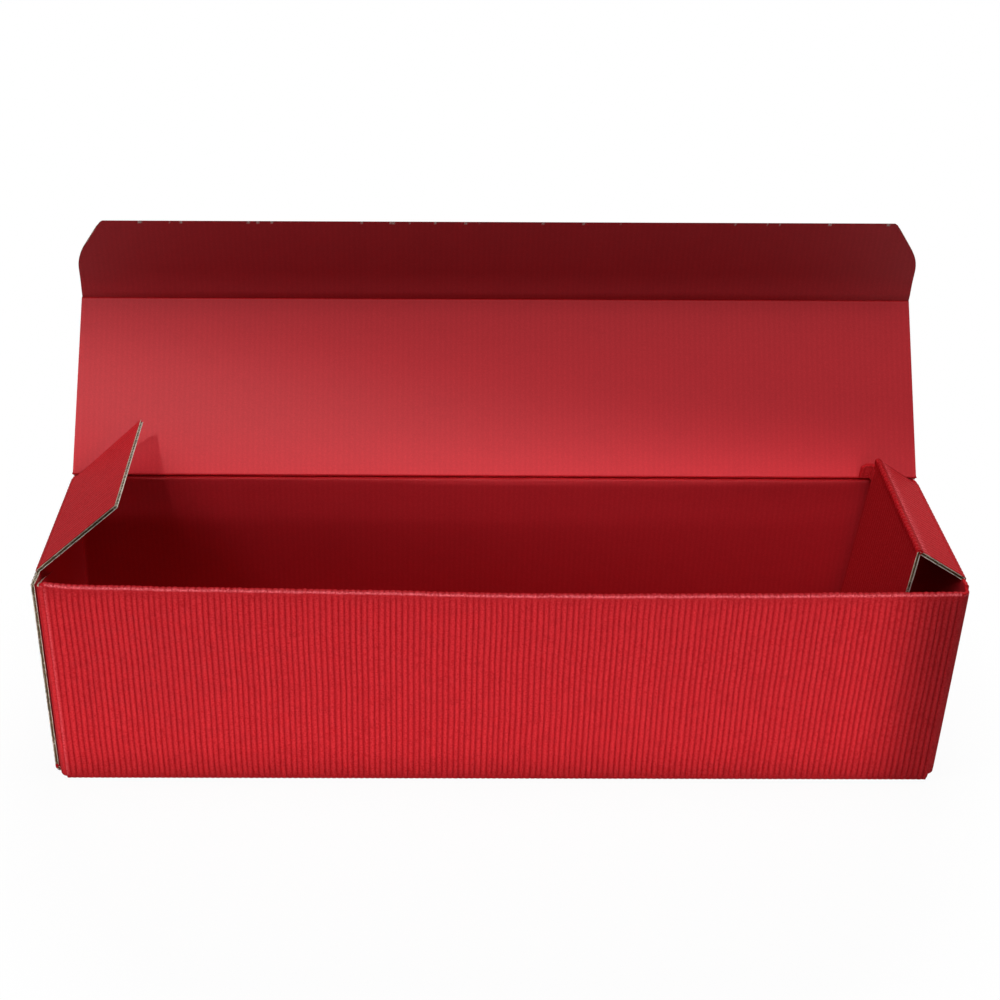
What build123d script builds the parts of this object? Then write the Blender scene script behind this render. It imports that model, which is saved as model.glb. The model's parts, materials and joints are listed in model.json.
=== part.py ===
from build123d import *
import os
from math import cos, radians, sin, tan

os.makedirs("parts", exist_ok=True)

# Shipping box folded from one sheet of board whose open flutes face outwards.
# Origin at the centre of the underside, +Z up, front wall towards -Y, sizes in mm.

# Box as it stands, over the flute crests
box_length = 384.0
box_depth = 90.5
front_height = 100.0

# Board: a smooth core with one row of open flutes glued to its outer face
core = 1.5
flute_height = 0.6
flute_pitch = 2.41
foot_land = 0.85
crushed = 3.4
bury = 0.3

# Folds
wall_bend = 2.25
floor_bend = 1.6
crease_gap = 0.3
mitre = 1.35
root = core / 2
wall_drop = 2 * root + crease_gap

# Front left corner, where the glue flap is stuck inside the end wall
glue_flap = 25.0
glue_slot = 3.6
glue_slope = 13.0
glue_drop = 0.6
glue_chamfer = 4.4
end_cut = 2.5
floor_flap = 45.0

# Lid and tuck flap
lid_rise = 2.3
lid_left_gap = 0.5
lid_right_gap = 0.4
lid_left_taper = 1.6
lid_right_taper = 0.3
lid_open = 127.5
tuck_gap = 2.25
tuck_length = 40.3
tuck_play = 0.3
tuck_swell = 0.4
tuck_straight = 22.7
tuck_slant = 11.5
tuck_shoulder = 20.0
tuck_corner = 1.5
tuck_open = 134.0
half_turn = 180.0

# End flaps
end_rise = 0.6
shoulder_rise = 0.5
corner_drop = 0.6
flap_gap = 0.95
left_width = 47.0
left_open = 41.5
left_setback = 4.4
left_cutback = 2.8
right_width = 24.0
right_open = 32.7
right_setback = 5.2

# Cushion wall that hangs from the right flap, with a small ear on its rear edge
cushion_short = 7.0
cushion_lean = 5.4
ear_top = 4.0
ear_height = 6.0
ear_length = 5.0
ear_gap = 0.5

# Faces of the walls
half_length = box_length / 2
half_depth = box_depth / 2
front_outer = -half_depth + flute_height
front_inner = front_outer + core
hem_inner = front_inner + core
hem_crest = hem_inner + flute_height
back_outer = half_depth - flute_height
back_inner = back_outer - core
right_outer = half_length - flute_height
right_inner = right_outer - core
left_outer = -right_outer
left_inner = -right_inner
glue_outer = left_inner + flute_height
glue_inner = glue_outer + core
floor_top = flute_height + core

# Creases of the lid and the end flaps, in the middle of the core
lid_axis_y = (back_inner + back_outer) / 2
lid_axis_z = front_height + lid_rise
end_axis_x = (right_inner + right_outer) / 2
end_axis_z = front_height + end_rise
lid_left = left_inner + lid_left_gap
lid_right = right_inner - lid_right_gap
tuck_shut_y = hem_crest + tuck_gap + flute_height + root
lid_length = lid_axis_y - tuck_shut_y
flap_front = tuck_shut_y + root + flap_gap
left_front = flap_front + left_cutback
left_back = lid_axis_y - left_setback
right_back = lid_axis_y - right_setback
fold_z = front_height - core
glue_top = front_height - glue_drop
shoulder_top = front_height + shoulder_rise
cushion_length = front_height - cushion_short
wall_foot = floor_top + root + floor_bend + 0.1
straight_left = glue_outer + wall_bend + root
straight_right = right_outer - wall_bend - root

# Directions from each crease to the panel's free edge
lid_way = (0, -cos(radians(lid_open)), sin(radians(lid_open)))
tuck_turn = lid_open + tuck_open - half_turn
tuck_way = (0, -cos(radians(tuck_turn)), sin(radians(tuck_turn)))
left_way = (cos(radians(left_open)), 0, sin(radians(left_open)))
right_way = (-cos(radians(right_open)), 0, sin(radians(right_open)))
cushion_way = (-sin(radians(cushion_lean)), 0, -cos(radians(cushion_lean)))
tuck_axis_y = lid_axis_y + lid_length * lid_way[1]
tuck_axis_z = lid_axis_z + lid_length * lid_way[2]
ridge_x = end_axis_x + right_width * right_way[0]
ridge_z = end_axis_z + right_width * right_way[2]


def flutes(plane, start, end, base=0.0, land=0.0):
    """Row of open flutes: x runs along the row, y out of the core, whose face is at base."""
    first = int(start / flute_pitch) + (1 if start > 0 else 0)
    last = int(end / flute_pitch) - (1 if end < 0 else 0)
    half = flute_pitch / 2
    outline = []
    for index in range(first, last + 1):
        crest = index * flute_pitch
        if crest - half < start or crest + half > end:
            continue
        outline.append((crest - half, base + bury / 6))
        outline.append((crest - land / 2, base + flute_height))
        if land:
            outline.append((crest + land / 2, base + flute_height))
        row_end = crest + half
    outline.append((row_end, base + bury / 6))
    outline.append((row_end, base - bury))
    outline.append((outline[0][0], base - bury))
    with BuildSketch(plane) as row:
        with BuildLine():
            Polyline(*outline, close=True)
        make_face()
    return row.sketch


def panel(plane, length, slant_cut=0.0):
    """Section of one panel with its rounded crease root: x to the free edge, y inwards."""
    with BuildSketch(plane) as section:
        with BuildLine():
            Polyline(
                (0, -root),
                (length, -root),
                (length - slant_cut, root),
                (0, root),
                close=True,
            )
        make_face()
        Circle(root)
    return section.sketch


# Ring of walls, hem, floor panel and the floor flaps of the end walls
with BuildPart() as box_body:
    with BuildSketch(Plane.XY.offset(wall_foot)):
        with BuildLine():
            FilletPolyline(
                ((glue_outer + glue_inner) / 2, -half_depth + glue_flap),
                ((glue_outer + glue_inner) / 2, (front_outer + front_inner) / 2),
                (end_axis_x, (front_outer + front_inner) / 2),
                (end_axis_x, lid_axis_y),
                (-end_axis_x, lid_axis_y),
                (-end_axis_x, -half_depth + end_cut),
                radius=wall_bend,
            )
        trace(line_width=core)
    extrude(amount=shoulder_top - wall_foot)

    # Floor panel with its rounded folds up to the front and back walls
    with BuildSketch(Plane.YZ.offset(straight_left)):
        with BuildLine():
            FilletPolyline(
                ((front_outer + front_inner) / 2, wall_foot),
                ((front_outer + front_inner) / 2, (flute_height + floor_top) / 2),
                (lid_axis_y, (flute_height + floor_top) / 2),
                (lid_axis_y, wall_foot),
                radius=floor_bend,
            )
        trace(line_width=core)
    extrude(amount=straight_right - straight_left)

    # Floor flaps of the end walls, folded in on top of the floor panel
    for side in (-1, 1):
        with BuildSketch(Plane.XZ.offset(-(back_outer - wall_bend - root))):
            with BuildLine():
                FilletPolyline(
                    (side * end_axis_x, wall_foot),
                    (side * end_axis_x, floor_top + root),
                    (side * (end_axis_x - floor_flap), floor_top + root),
                    radius=floor_bend,
                )
            trace(line_width=core)
        extrude(amount=back_outer - wall_bend - root - hem_crest)

    # Front wall turned over at its top into a hem that runs down inside to the floor
    with Locations(((straight_left + straight_right) / 2, front_inner, fold_z)):
        Box(
            straight_right - straight_left,
            2 * core + 2,
            shoulder_top,
            align=(Align.CENTER, Align.CENTER, Align.MIN),
            mode=Mode.SUBTRACT,
        )
    with BuildSketch(Plane.XY.offset(floor_top)):
        with Locations(((glue_inner + right_inner) / 2, (front_inner + hem_inner) / 2)):
            Rectangle(right_inner - glue_inner, core)
    extrude(amount=fold_z - floor_top)
    with BuildSketch(Plane.YZ.offset(straight_left)):
        with Locations((front_inner, fold_z)):
            Circle(core)
    extrude(amount=straight_right - straight_left)

    # Right front corner, its top a little lower than the fold beside it
    with Locations(((straight_right + right_outer) / 2, front_inner, front_height - corner_drop)):
        Box(
            right_outer - straight_right,
            2 * core,
            shoulder_top,
            align=(Align.CENTER, Align.CENTER, Align.MIN),
            mode=Mode.SUBTRACT,
        )

    # Glue flap stuck to the end wall behind a narrow open slot, its top edge sloping down
    with BuildSketch(Plane.XY.offset(wall_foot)):
        with Locations((left_inner, -half_depth + end_cut + glue_slot)):
            Rectangle(
                flute_height,
                glue_flap - end_cut - glue_slot,
                align=(Align.MIN, Align.MIN),
            )
    extrude(amount=shoulder_top - wall_foot)
    slope_run = glue_flap - glue_chamfer - end_cut
    slope_fall = slope_run * tan(radians(glue_slope))
    with BuildSketch(Plane.YZ.offset(left_inner)):
        with BuildLine():
            Polyline(
                (-half_depth - 1, glue_top),
                (-half_depth + end_cut, glue_top),
                (-half_depth + end_cut + slope_run, glue_top - slope_fall),
                (-half_depth + glue_flap + 1, glue_top - slope_fall - 1.5 * glue_chamfer),
                (-half_depth + glue_flap + 1, shoulder_top + 1),
                (-half_depth - 1, shoulder_top + 1),
                close=True,
            )
        make_face()
    extrude(amount=straight_left - left_inner, mode=Mode.SUBTRACT)

    # Rounded tops under the creases of the end flaps and the lid
    for side, front, rear in ((-1, left_front, left_back), (1, flap_front, right_back)):
        crease = rear - front + 2 * crease_gap
        with Locations((side * end_axis_x, (front + rear) / 2, end_axis_z - wall_drop)):
            Box(
                2 * core,
                crease,
                shoulder_top,
                align=(Align.CENTER, Align.CENTER, Align.MIN),
                mode=Mode.SUBTRACT,
            )
            Cylinder(root, crease, rotation=(90, 0, 0))
    lid_span = lid_right - lid_left + 2 * crease_gap
    with Locations(((lid_left + lid_right) / 2, lid_axis_y, lid_axis_z - wall_drop)):
        Box(
            lid_span,
            2 * core,
            shoulder_top,
            align=(Align.CENTER, Align.CENTER, Align.MIN),
            mode=Mode.SUBTRACT,
        )
        Cylinder(root, lid_span, rotation=(0, 90, 0))

    # Open flutes: upright on the walls and the hem, front to back under the floor
    flute_foot = wall_foot + 0.5
    flute_top = end_axis_z - wall_drop - crushed
    front_flutes = flutes(
        Plane(origin=(0, front_outer, flute_foot), x_dir=(-1, 0, 0), z_dir=(0, 0, 1)),
        -straight_right,
        -straight_left,
    )
    extrude(front_flutes, amount=front_height - crushed - flute_foot)
    hem_flutes = flutes(
        Plane(origin=(0, hem_inner, flute_foot), x_dir=(1, 0, 0), z_dir=(0, 0, 1)),
        glue_inner,
        right_inner,
    )
    extrude(hem_flutes, amount=front_height - crushed - flute_foot)
    back_flutes = flutes(
        Plane(origin=(0, back_outer, flute_foot), x_dir=(1, 0, 0), z_dir=(0, 0, 1)),
        -straight_right,
        straight_right,
    )
    extrude(back_flutes, amount=flute_top - flute_foot)
    right_flutes = flutes(
        Plane(origin=(right_outer, 0, flute_foot), x_dir=(0, -1, 0), z_dir=(0, 0, 1)),
        -(back_outer - wall_bend - root),
        -(front_outer + wall_bend + root),
    )
    extrude(right_flutes, amount=flute_top - flute_foot)
    left_flutes = flutes(
        Plane(origin=(left_outer, 0, flute_foot), x_dir=(0, 1, 0), z_dir=(0, 0, 1)),
        -half_depth + end_cut,
        back_outer - wall_bend - root,
    )
    extrude(left_flutes, amount=flute_top - flute_foot)
    floor_run = half_depth - flute_height - floor_bend - root - crease_gap
    floor_flutes = flutes(
        Plane(origin=(0, -floor_run, flute_height), x_dir=(1, 0, 0), z_dir=(0, 1, 0)),
        straight_left,
        straight_right,
        land=foot_land,
    )
    extrude(floor_flutes, amount=2 * floor_run)

box_body.part.label = "box_body"
export_step(box_body.part, "parts/box_body.step")


# Lid, hinged on the back wall, a little narrower at the tuck flap's crease, where its outer
# corner is cut back
with BuildPart() as lid:
    lid_edge = Plane(
        origin=(lid_left, lid_axis_y, lid_axis_z), x_dir=lid_way, z_dir=(1, 0, 0)
    )
    extrude(panel(lid_edge, lid_length - root - crease_gap, mitre), amount=lid_right - lid_left)
    lid_row = Plane(origin=(0, lid_axis_y, lid_axis_z), x_dir=(1, 0, 0), z_dir=lid_way)
    extrude(
        flutes(lid_row.offset(crushed), lid_left, lid_right, base=root),
        amount=lid_length - 2 * crushed,
    )
    lid_face = Plane(
        origin=(0, lid_axis_y, lid_axis_z),
        x_dir=(1, 0, 0),
        z_dir=(0, -lid_way[2], lid_way[1]),
    )
    with BuildSketch(lid_face):
        with BuildLine():
            Polyline(
                (lid_left, -core),
                (lid_left, 0),
                (lid_left + lid_left_taper, lid_length),
                (lid_right - lid_right_taper, lid_length),
                (lid_right, 0),
                (lid_right, -core),
                close=True,
            )
        make_face()
    extrude(amount=2 * core, both=True, mode=Mode.INTERSECT)

lid.part.label = "lid"
export_step(lid.part, "parts/lid.step")


# Tuck flap with rounded shoulders and slanted ends
with BuildPart() as tuck_flap:
    tuck_left = glue_inner + tuck_play
    tuck_right = lid_right - lid_right_taper
    tuck_edge = Plane(
        origin=(tuck_left, tuck_axis_y, tuck_axis_z), x_dir=tuck_way, z_dir=(1, 0, 0)
    )
    extrude(panel(tuck_edge, tuck_length), amount=tuck_right + tuck_swell - tuck_left)
    tuck_row = Plane(origin=(0, tuck_axis_y, tuck_axis_z), x_dir=(1, 0, 0), z_dir=tuck_way)
    extrude(
        flutes(tuck_row.offset(crushed), tuck_left, tuck_right + tuck_swell, base=root),
        amount=tuck_length - crushed,
    )
    tuck_face = Plane(
        origin=(0, tuck_axis_y, tuck_axis_z),
        x_dir=(1, 0, 0),
        z_dir=(0, -tuck_way[2], tuck_way[1]),
    )
    with BuildSketch(tuck_face) as tuck_outline:
        with BuildLine():
            Polyline(
                (tuck_left, -core),
                (tuck_left, tuck_straight),
                (tuck_left + tuck_slant, tuck_length),
                (tuck_right + tuck_swell - tuck_slant, tuck_length),
                (tuck_right + tuck_swell, tuck_straight),
                (tuck_right, -core),
                close=True,
            )
        make_face()
        levels = tuck_outline.vertices().group_by(Axis.Y)
        fillet(levels[1], radius=tuck_shoulder)
        tips = tuck_outline.vertices().group_by(Axis.Y)[-1]
        fillet(tips, radius=tuck_corner)
    extrude(amount=2 * core, both=True, mode=Mode.INTERSECT)

tuck_flap.part.label = "tuck_flap"
export_step(tuck_flap.part, "parts/tuck_flap.step")


# Left end flap, standing half open
with BuildPart() as left_end_flap:
    left_edge = Plane(
        origin=(-end_axis_x, left_front, end_axis_z), x_dir=left_way, z_dir=(0, 1, 0)
    )
    extrude(panel(left_edge, left_width), amount=left_back - left_front)
    left_row = Plane(origin=(-end_axis_x, 0, end_axis_z), x_dir=(0, 1, 0), z_dir=left_way)
    extrude(
        flutes(left_row.offset(crushed), left_front, left_back, base=root),
        amount=left_width - crushed,
    )

left_end_flap.part.label = "left_end_flap"
export_step(left_end_flap.part, "parts/left_end_flap.step")


# Right end flap, the sloping top of the cushion
with BuildPart() as right_end_flap:
    right_edge = Plane(
        origin=(end_axis_x, right_back, end_axis_z), x_dir=right_way, z_dir=(0, -1, 0)
    )
    extrude(
        panel(right_edge, right_width - root - crease_gap, mitre),
        amount=right_back - flap_front,
    )
    right_row = Plane(origin=(end_axis_x, 0, end_axis_z), x_dir=(0, -1, 0), z_dir=right_way)
    extrude(
        flutes(right_row.offset(crushed), -right_back, -flap_front, base=root),
        amount=right_width - 2 * crushed,
    )

right_end_flap.part.label = "right_end_flap"
export_step(right_end_flap.part, "parts/right_end_flap.step")


# Cushion wall, hanging from the ridge of the right flap down into the box
with BuildPart() as cushion_wall:
    ridge_edge = Plane(
        origin=(ridge_x, right_back, ridge_z), x_dir=cushion_way, z_dir=(0, -1, 0)
    )
    extrude(panel(ridge_edge, cushion_length), amount=right_back - flap_front)
    ridge_row = Plane(origin=(ridge_x, 0, ridge_z), x_dir=(0, -1, 0), z_dir=cushion_way)
    extrude(
        flutes(ridge_row.offset(crushed), -right_back, -flap_front, base=root),
        amount=cushion_length - crushed,
    )
    ear_x = ridge_x - (ear_top + ear_height / 2) * tan(radians(cushion_lean))
    ear_y = back_inner - ear_gap - root
    with BuildSketch(Plane.XY.offset(ridge_z - ear_top - ear_height)):
        with BuildLine():
            FilletPolyline(
                (ear_x, right_back - root),
                (ear_x, ear_y),
                (ear_x - ear_length, ear_y),
                radius=root + ear_gap,
            )
        trace(line_width=core)
    extrude(amount=ear_height)

cushion_wall.part.label = "cushion_wall"
export_step(cushion_wall.part, "parts/cushion_wall.step")
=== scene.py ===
import json
from math import atan2, ceil, cos, pi, radians, sin, tan

import bpy
import numpy as np
from mathutils import Matrix


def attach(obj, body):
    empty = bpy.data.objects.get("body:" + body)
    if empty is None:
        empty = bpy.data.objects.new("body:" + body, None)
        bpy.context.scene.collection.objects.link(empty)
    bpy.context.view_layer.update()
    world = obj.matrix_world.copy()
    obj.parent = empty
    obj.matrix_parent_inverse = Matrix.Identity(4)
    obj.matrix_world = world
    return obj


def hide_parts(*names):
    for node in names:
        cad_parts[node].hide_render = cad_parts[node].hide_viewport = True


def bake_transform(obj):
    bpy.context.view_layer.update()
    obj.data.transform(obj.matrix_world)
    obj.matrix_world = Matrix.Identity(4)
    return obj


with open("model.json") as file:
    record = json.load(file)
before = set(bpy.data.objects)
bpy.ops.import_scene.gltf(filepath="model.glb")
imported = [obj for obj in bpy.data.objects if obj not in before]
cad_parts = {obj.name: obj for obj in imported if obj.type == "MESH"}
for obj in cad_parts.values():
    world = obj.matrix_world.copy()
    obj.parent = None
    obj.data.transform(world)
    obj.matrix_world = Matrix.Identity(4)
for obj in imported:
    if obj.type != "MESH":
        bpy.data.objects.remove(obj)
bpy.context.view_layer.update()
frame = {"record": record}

# Sizes in millimetres, in the frame's axes: front wall towards -Y, cushion end towards +X
MM = 0.001
CORE = 1.5
HALF = CORE / 2
FLUTE_HEIGHT = 0.6
FLUTE_PITCH = 2.41
HALF_LENGTH = 192.0
HALF_DEPTH = 45.25
FRONT_HEIGHT = 100.0
SHOULDER_TOP = 100.5
WALL_BEND = 2.25
FLOOR_BEND = 1.6
FRONT_FOOT_BEND = 0.8
GAP = 0.3
FOOT_PLAY = 0.1
END_CUT = 2.5
GLUE_LENGTH = 25.0
GLUE_SLOPE = radians(19.0)
FLOOR_FLAP_LENGTH = 45.0
FLOOR_FLAP_SHORT = 0.9
FLOOR_FLAP_PLAY = 0.03
REAR_CORNER_FOOT = 0.4

front_mid = -HALF_DEPTH + FLUTE_HEIGHT + HALF
hem_mid = front_mid + CORE
back_mid = HALF_DEPTH - FLUTE_HEIGHT - HALF
end_mid = HALF_LENGTH - FLUTE_HEIGHT - HALF
glue_mid = -end_mid + CORE + FLUTE_HEIGHT
floor_mid = FLUTE_HEIGHT + HALF
floor_top = floor_mid + HALF
fold_z = FRONT_HEIGHT - CORE
straight_left = glue_mid + WALL_BEND
straight_right = end_mid - WALL_BEND
wall_foot = floor_top + HALF + FLOOR_BEND + FOOT_PLAY
front_foot = floor_mid + FRONT_FOOT_BEND + FOOT_PLAY
wall_end = -HALF_DEPTH + END_CUT
floor_flap_back = back_mid - FLOOR_FLAP_SHORT

X, Y, UP = np.array([1.0, 0, 0]), np.array([0, 1.0, 0]), np.array([0, 0, 1.0])

# Creases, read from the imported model's joints
hinge = {j["name"]: np.array(j["pos_m"]) / MM for j in frame["record"]["behaviour"]["joints"]}
lid_axis = hinge["lid_hinge"]
tuck_axis = hinge["tuck_hinge"]
left_axis = hinge["left_flap_hinge"]
right_axis = hinge["right_flap_hinge"]
ridge_axis = hinge["cushion_wall_hinge"]
lid_way = (tuck_axis - lid_axis) * (0, 1, 1)
lid_length = float(np.linalg.norm(lid_way))
lid_way = lid_way / lid_length
TUCK_TURN = radians(81.5)
tuck_way = np.array([0, -cos(TUCK_TURN), sin(TUCK_TURN)])
LEFT_TURN = radians(41.5)
left_way = np.array([cos(LEFT_TURN), 0, sin(LEFT_TURN)])
right_way = (ridge_axis - right_axis) * (1, 0, 1)
right_width = float(np.linalg.norm(right_way))
right_way = right_way / right_width
CUSHION_LEAN = radians(5.4)
cushion_way = np.array([-sin(CUSHION_LEAN), 0, -cos(CUSHION_LEAN)])

# Outlines of the flaps
LID_LEFT, LID_RIGHT = -189.65, 190.2
LID_LEFT_TAPER, LID_RIGHT_TAPER = 1.85, 1.0
TUCK_LEFT, TUCK_RIGHT, TUCK_SWELL = -187.5, 189.2, 0.4
TUCK_LENGTH = 39.8
TUCK_STRAIGHT = 20.8
TUCK_SLANT = 12.7
TUCK_SHOULDER = 20.0
TUCK_TIP = 1.2
LEFT_WIDTH = 47.0
CUSHION_LENGTH = 93.0
FLAP_FRONT = -35.75
LEFT_FRONT = -32.95
left_back = lid_axis[1] - 4.4
right_back = lid_axis[1] - 5.2
EAR_TOP, EAR_HEIGHT, EAR_LENGTH, EAR_GAP = 4.0, 6.0, 5.0, 0.5

# How the board strays from flat and square
BOW = 1.2
FOLD_SLACK = 1.56
LEFT_LEAN, RIGHT_LEAN = 1.9, 1.2
END_FLARE = 0.3
GLUE_STAND_OFF = 1.6
TUCK_CURL = 0.9
FLOOR_SAG = 0.42

# Strips of liner over the moving creases
SKIN = 0.12
STRIP_REACH = 1.7
BLEND_REACH = 1.2
CREASE_LAP = 0.9


# Surface helpers


def fade(x, low, high):
    """0 below low, 1 above high, a smooth step between."""
    t = np.clip((np.asarray(x, float) - low) / (high - low), 0, 1)
    return t * t * (3 - 2 * t)


def wobble(x, scale, seed):
    """Slow random swing of about -1 to 1 along x, with bumps about scale long."""
    turn = np.random.default_rng(seed).uniform(0, 2 * pi, 5)
    rate = np.array([1.0, 1.7, 2.3, 3.1, 4.3]) / scale
    wave = [np.sin(2 * pi * r * np.asarray(x, float) + t) for r, t in zip(rate, turn)]
    return sum(w / (1 + 0.5 * k) for k, w in enumerate(wave)) / 2.6


def flute(u, seed=0):
    """Open flutes at u across them, 0 in the valleys to about 1: broad round crests and narrow
    valleys, no two crests quite the same height."""
    wave = np.abs(np.cos(pi * np.asarray(u, float) / FLUTE_PITCH)) ** 0.8
    return wave * (0.9 + 0.1 * wobble(u, 5.3, seed + 70))


FLUTE_PLACES = np.array([-0.5, -0.41, -0.24, 0.0, 0.24, 0.41])


def columns(start, end):
    """Places across the flutes: six to each, closer together in the valleys, and both ends."""
    crest = np.arange(ceil(start / FLUTE_PITCH) - 1, ceil(end / FLUTE_PITCH) + 1)
    u = FLUTE_PITCH * (crest[:, None] + FLUTE_PLACES).reshape(-1)
    return np.concatenate([[start], u[(u > start + 0.15) & (u < end - 0.15)], [end]])


def drift(u, v, start, end, seed):
    """How far the flutes stray sideways at u, and along them at v: none at the sheet's two ends."""
    stray = 0.2 * wobble(u, 7.0, seed) + 0.3 * wobble(u, 50.0, seed + 1)
    stray = stray + 0.22 * wobble(v + 0.15 * u, 55.0, seed + 2)
    return stray * fade(u, start, start + 6) * fade(end - u, 0, 6)


# A cut edge, as heights through the core and how far the board has sunk in there, and then the
# same through the flute, as shares of its height
CUT_LEVELS = np.array([0.0, 0.2, 0.26, 1.2, 1.26, 1.5])
CUT_DEPTHS = np.array([0.0, 0.0, 0.5, 0.5, 0.0, 0.0])
CREST_LEVELS = np.array([0.15, 0.7, 1.0])
CREST_DEPTHS = np.array([0.4, 0.4, 0.0])
FOLD, ACROSS, ALONG, PINCHED = 0, 1, 2, 3
RIBBED, SMOOTH, CUT_ACROSS, CUT_ALONG = 0, 1, 2, 3
SMOOTH_CREST = 0.5
MERGE = 2000
SHARP = radians(50)


def edge_codes(kind, length):
    """Edge codes along one side, from one code or an array of them."""
    return np.full(length, kind) if np.isscalar(kind) else np.asarray(kind)


def unit(v):
    """Vectors scaled to length 1; the shortest stay near zero."""
    return v / np.maximum(np.linalg.norm(v, axis=-1, keepdims=True), 1e-9)


def sheet(name, mid, normal, wave, pressed, edges, rub_and_highlight=0.0, torn=0.0, half=HALF, skew=0.0, painted_shade=0.0):
    """Closed board: the outer skin lies at half plus the flutes' height above the middle surface,
    the inner skin at half below it. edges gives the kind of the first row, last column, last row
    and first column. ACROSS and ALONG are cuts with hollows between the papers, FOLD is a
    half-round crease, and PINCHED is a cut that slants, as skew shifts the outer skin along the
    board. wave is the flutes from 0 to 1 and pressed how much of them is left; with them each
    point's Crest goes from the valley colour, painted shade, to the crest colour, a painted
    highlight. dim is painted shade that takes a crest down as dark as a valley. rub says where
    dye is scuffed off outside, partly real wear and partly a painted highlight, and torn where
    paper is torn off inside."""
    rows, cols = mid.shape[:2]
    wave, pressed = np.broadcast_to(wave, (rows, cols)), np.broadcast_to(pressed, (rows, cols))
    relief = FLUTE_HEIGHT * wave * pressed
    # Crest is the painted flute shade: 0 gives the valley colour as painted shade, 1 the crest colour
    # as a painted highlight, and crests are taken down by painted shade
    crest = np.clip(0.5 + (wave - 0.45) * pressed - painted_shade, 0, 1)
    outer = mid + normal * (half + relief)[..., None] + skew
    inner = mid - normal * half
    index = np.arange(rows * cols).reshape(rows, cols)
    quads = np.stack([index[:-1, :-1], index[:-1, 1:], index[1:, 1:], index[1:, :-1]], -1)
    quads = quads.reshape(-1, 4)

    # Whether the faces have to be turned to look outwards
    i, j = rows // 2, cols // 2
    run = outer[i, min(j + 1, cols - 1)] - outer[i, j - 1]
    climb = outer[min(i + 1, rows - 1), j] - outer[i - 1, j]
    turned = np.dot(np.cross(run, climb), normal[i, j]) < 0

    # Ring of edge points, and the way from each into the board
    ring = np.concatenate([index[0, :], index[1:, -1], index[-1, -2::-1], index[-2:0:-1, 0]])
    kinds = np.concatenate([
        edge_codes(edges[0], cols), edge_codes(edges[1], rows)[1:],
        edge_codes(edges[2], cols)[-2::-1], edge_codes(edges[3], rows)[-2:0:-1],
    ])
    inward = np.zeros((rows, cols, 3))
    inward[0] += unit(mid[1] - mid[0])
    inward[-1] += unit(mid[-2] - mid[-1])
    inward[:, 0] += unit(mid[:, 1] - mid[:, 0])
    inward[:, -1] += unit(mid[:, -2] - mid[:, -1])
    inward = unit(inward).reshape(-1, 3)[ring]

    # Lines along the edge, from the inner skin to the flutes' crests: share of the way, sunk, height
    low, high = inner.reshape(-1, 3)[ring], outer.reshape(-1, 3)[ring]
    rise = relief.reshape(-1)[ring]
    share = rise / FLUTE_HEIGHT
    thick = 2 * half
    bands = []
    for level, depth in zip(CUT_LEVELS, CUT_DEPTHS):
        part = level / CORE
        bulge = thick * np.sqrt(max(0.0, 0.25 - (part - 0.5) ** 2))
        shift = np.select([kinds == FOLD, kinds == PINCHED], [-bulge, 0], depth)
        bands.append((part * thick / (thick + rise), shift, level + 0 * rise))
    for level, depth in zip(CREST_LEVELS, CREST_DEPTHS):
        shift = np.where((kinds == FOLD) | (kinds == PINCHED), 0, depth * share)
        bands.append(((thick + level * rise) / (thick + rise), shift, CORE + level * rise))
    skins = [low + (high - low) * part[:, None] + inward * shift[:, None] for part, shift, _ in bands]
    levels = [level for _, _, level in bands]

    # Faces of the edge, with how far round and how high they are as their uv
    count, around = rows * cols, len(ring)
    between = [2 * count + k * around + np.arange(around) for k in range(len(skins) - 2)]
    places = [ring + count] + between + [ring]
    verts = np.concatenate([outer.reshape(-1, 3), inner.reshape(-1, 3)] + skins[1:-1])
    travel = np.concatenate([[0], np.cumsum(np.linalg.norm(np.diff(high, axis=0), axis=1))])
    after = np.roll(np.arange(around), -1)
    onward = np.where(after == 0, travel[-1] + 1, travel[after])
    strips, strip_uv = [], []
    for k in range(len(skins) - 1):
        a, b = places[k], places[k + 1]
        strips.append(np.stack([a, b, b[after], a[after]], -1))
        strip_uv.append(np.stack([
            np.stack([travel, levels[k]], -1), np.stack([travel, levels[k + 1]], -1),
            np.stack([onward, levels[k + 1][after]], -1), np.stack([onward, levels[k][after]], -1),
        ], 1))
    strips, strip_uv = np.concatenate(strips), np.concatenate(strip_uv)
    strip_kind = np.tile(kinds, len(skins) - 1)
    if turned:
        quads = quads[:, ::-1]
    else:
        strips, strip_uv = strips[:, ::-1], strip_uv[:, ::-1]
    faces = np.concatenate([quads, quads[:, ::-1] + count, strips])
    strip_slots = np.select([strip_kind == FOLD, strip_kind == ALONG], [RIBBED, CUT_ALONG], CUT_ACROSS)
    slots = np.concatenate([np.full(len(quads), RIBBED), np.full(len(quads), SMOOTH), strip_slots])
    uv = np.concatenate([np.zeros((2 * len(quads), 4, 2)), strip_uv])
    flat = np.ones((rows, cols))
    spare = np.zeros(len(verts) - 2 * count)
    rub_highlight = np.concatenate([(rub_and_highlight * flat).reshape(-1), (torn * flat).reshape(-1), spare])
    crests = np.concatenate([
        crest.reshape(-1), (SMOOTH_CREST * flat).reshape(-1), spare + SMOOTH_CREST,
    ])
    return make_mesh(name, verts, faces, slots, uv, {"RubAndHighlight": rub_highlight, "Crest": crests})


def link(name, data):
    """New object that holds data, linked into the scene."""
    made = bpy.data.objects.new(name, data)
    bpy.context.scene.collection.objects.link(made)
    return made


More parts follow.
